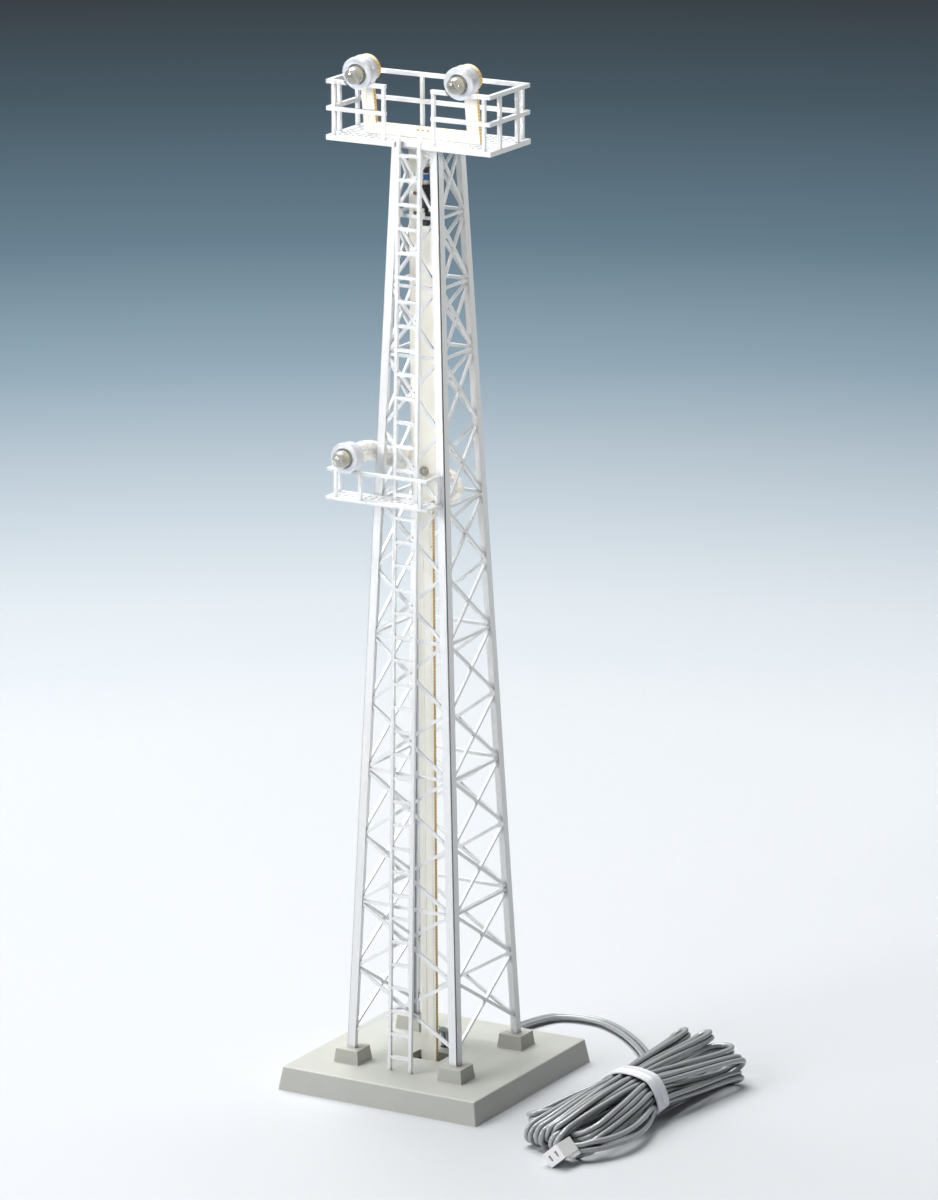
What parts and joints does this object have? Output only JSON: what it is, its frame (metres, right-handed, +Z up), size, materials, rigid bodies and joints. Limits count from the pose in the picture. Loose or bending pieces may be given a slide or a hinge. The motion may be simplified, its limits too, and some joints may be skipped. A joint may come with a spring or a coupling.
{
  "type": "model yard floodlight tower",
  "caption": "Model railway yard floodlight tower: a square base carries a tapered lattice mast with ladder, railed platforms, LED lamp heads, circuit board, bundled cord and plug.",
  "frame": {"origin": "centre of the base's underside", "axes": "+Z up along the tower; -Y is the ladder side, towards which the lamps shine; +X is the side where the bundled cord lies"},
  "size_m": [0.0712, 0.0698, 0.1809],
  "materials": {
    "silver_plastic": "satin silver-grey moulding",
    "lamp_silver": "satin silver paint",
    "base_plastic": "waxy warm-grey moulding",
    "board_laminate": "cream solder mask with amber cut edges",
    "led_epoxy": "clear epoxy",
    "tinned_wire": "tinned",
    "solder": "dull solder",
    "sleeve_tube": "cream insulating sleeve",
    "resistor_coat": "lacquered, banded",
    "shrink_tube": "black heat-shrink tube",
    "cord_vinyl": "grey vinyl cord",
    "tie_vinyl": "white vinyl tie",
    "plug_nylon": "white nylon",
    "contact_tin": "tinned brass",
    "screw_steel": "zinc plated",
    "ballast_steel": "plain steel plate"
  },
  "bodies": {
    "root": {"base_housing": "base_plastic", "base_cover": "base_plastic", "ballast_weight": "ballast_steel", "cover_screws": "screw_steel", "cord_anchor": "base_plastic", "front_lattice": "silver_plastic", "right_lattice": "silver_plastic", "rear_lattice": "silver_plastic", "left_lattice": "silver_plastic", "top_deck": "silver_plastic", "mid_deck": "silver_plastic", "front_left_rail": "silver_plastic", "front_right_rail": "silver_plastic", "rear_rail": "silver_plastic", "left_end_rail": "silver_plastic", "right_end_rail": "silver_plastic", "mid_front_rail": "silver_plastic", "mid_left_rail": "silver_plastic", "mid_right_rail": "silver_plastic", "ladder": "silver_plastic", "circuit_board": "board_laminate", "mid_lead_sleeves": "sleeve_tube", "dropping_resistor": "resistor_coat", "shrink_sleeve": "shrink_tube", "resistor_leads": "tinned_wire", "solder_joints": "solder", "power_cord": "cord_vinyl", "cord_bundle": "cord_vinyl", "cord_tie": "tie_vinyl", "plug_housing": "plug_nylon", "plug_contacts": "contact_tin", "plug_leads": "cord_vinyl", "lamp_housing_left": "lamp_silver", "led_left": "led_epoxy", "led_leads_left": "tinned_wire", "lamp_housing_right": "lamp_silver", "led_right": "led_epoxy", "led_leads_right": "tinned_wire", "lamp_housing_mid": "lamp_silver", "led_mid": "led_epoxy", "led_leads_mid": "tinned_wire"}
  },
  "joints": []
}
